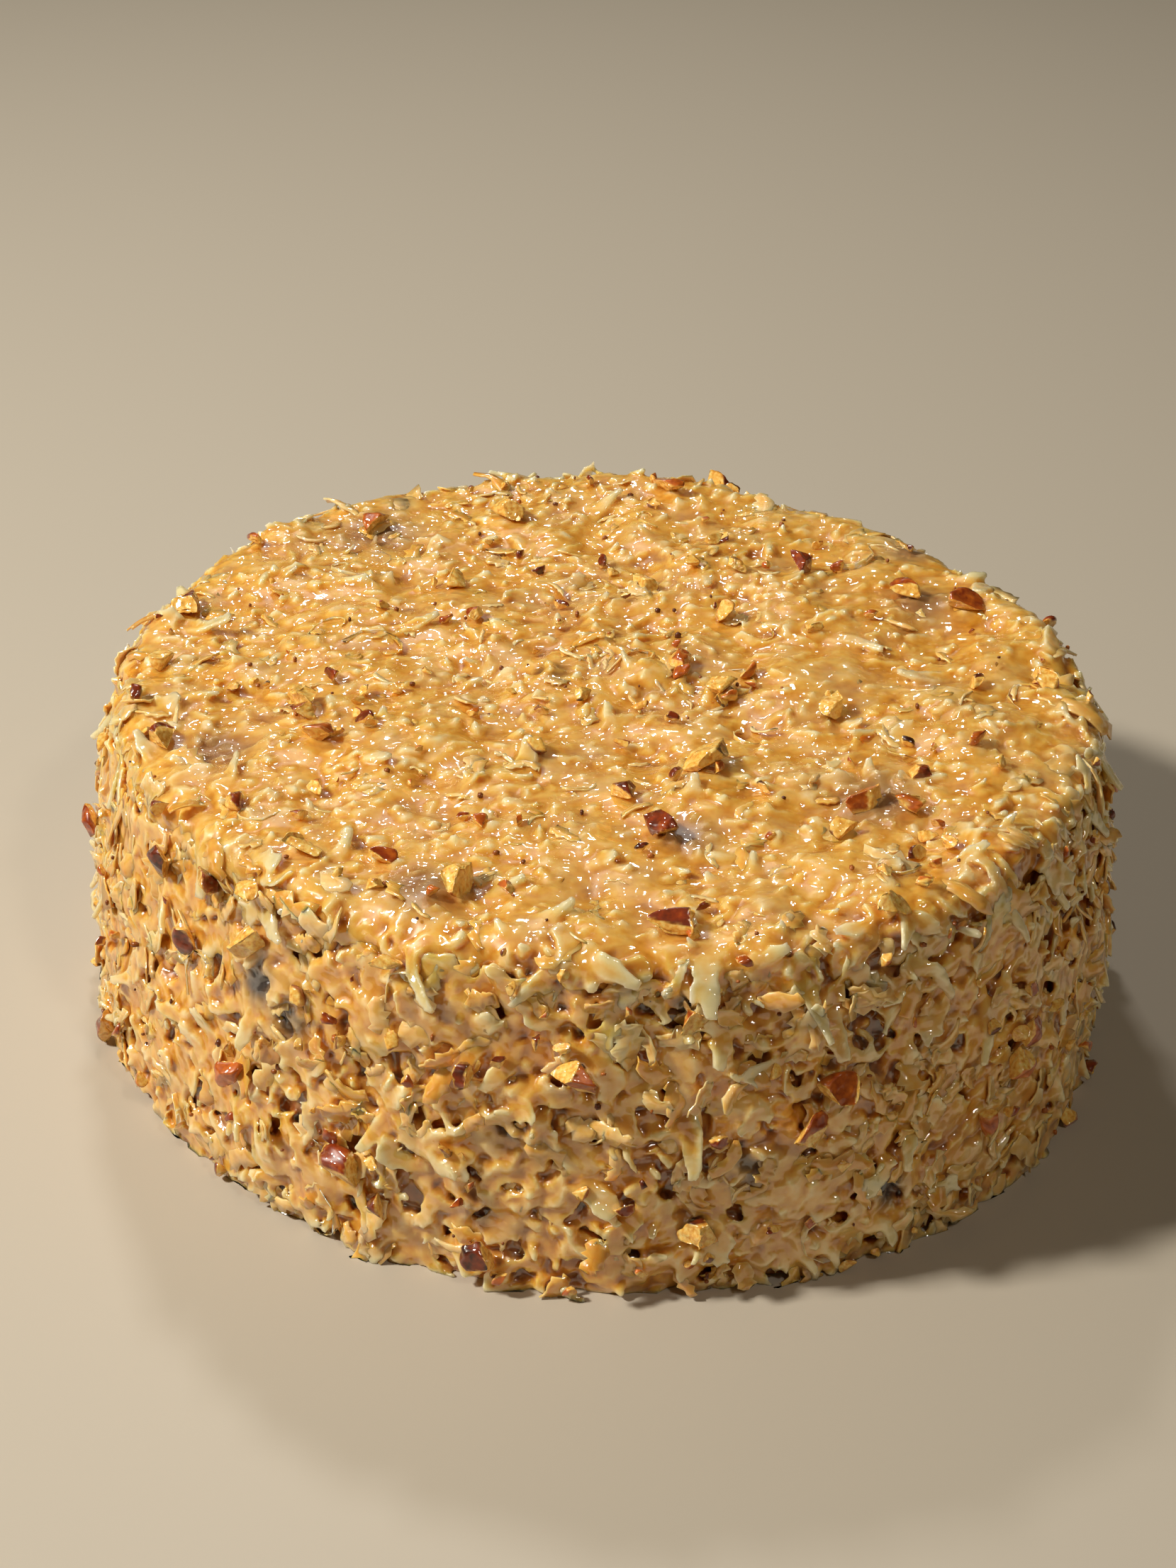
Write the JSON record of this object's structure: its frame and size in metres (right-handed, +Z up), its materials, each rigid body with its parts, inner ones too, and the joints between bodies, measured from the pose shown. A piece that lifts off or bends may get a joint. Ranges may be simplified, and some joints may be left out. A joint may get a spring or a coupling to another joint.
{
  "type": "german chocolate cake",
  "caption": "Whole round layer cake frosted all over with coconut-pecan frosting: a thick drum with a rounded rim, ragged coconut flakes and chopped pecans.",
  "frame": {"origin": "middle of the flat underside of the cake", "axes": "+Z up through the cake; -Y is the front, the side that faces the viewer in the reference view; +X to the viewer's right"},
  "size_m": [0.2336, 0.235, 0.0808],
  "materials": {
    "frosting": "glossy, translucent caramel-beige coconut-pecan frosting, wet-looking"
  },
  "bodies": {
    "root": {"frosted_cake": "frosting"}
  },
  "joints": []
}
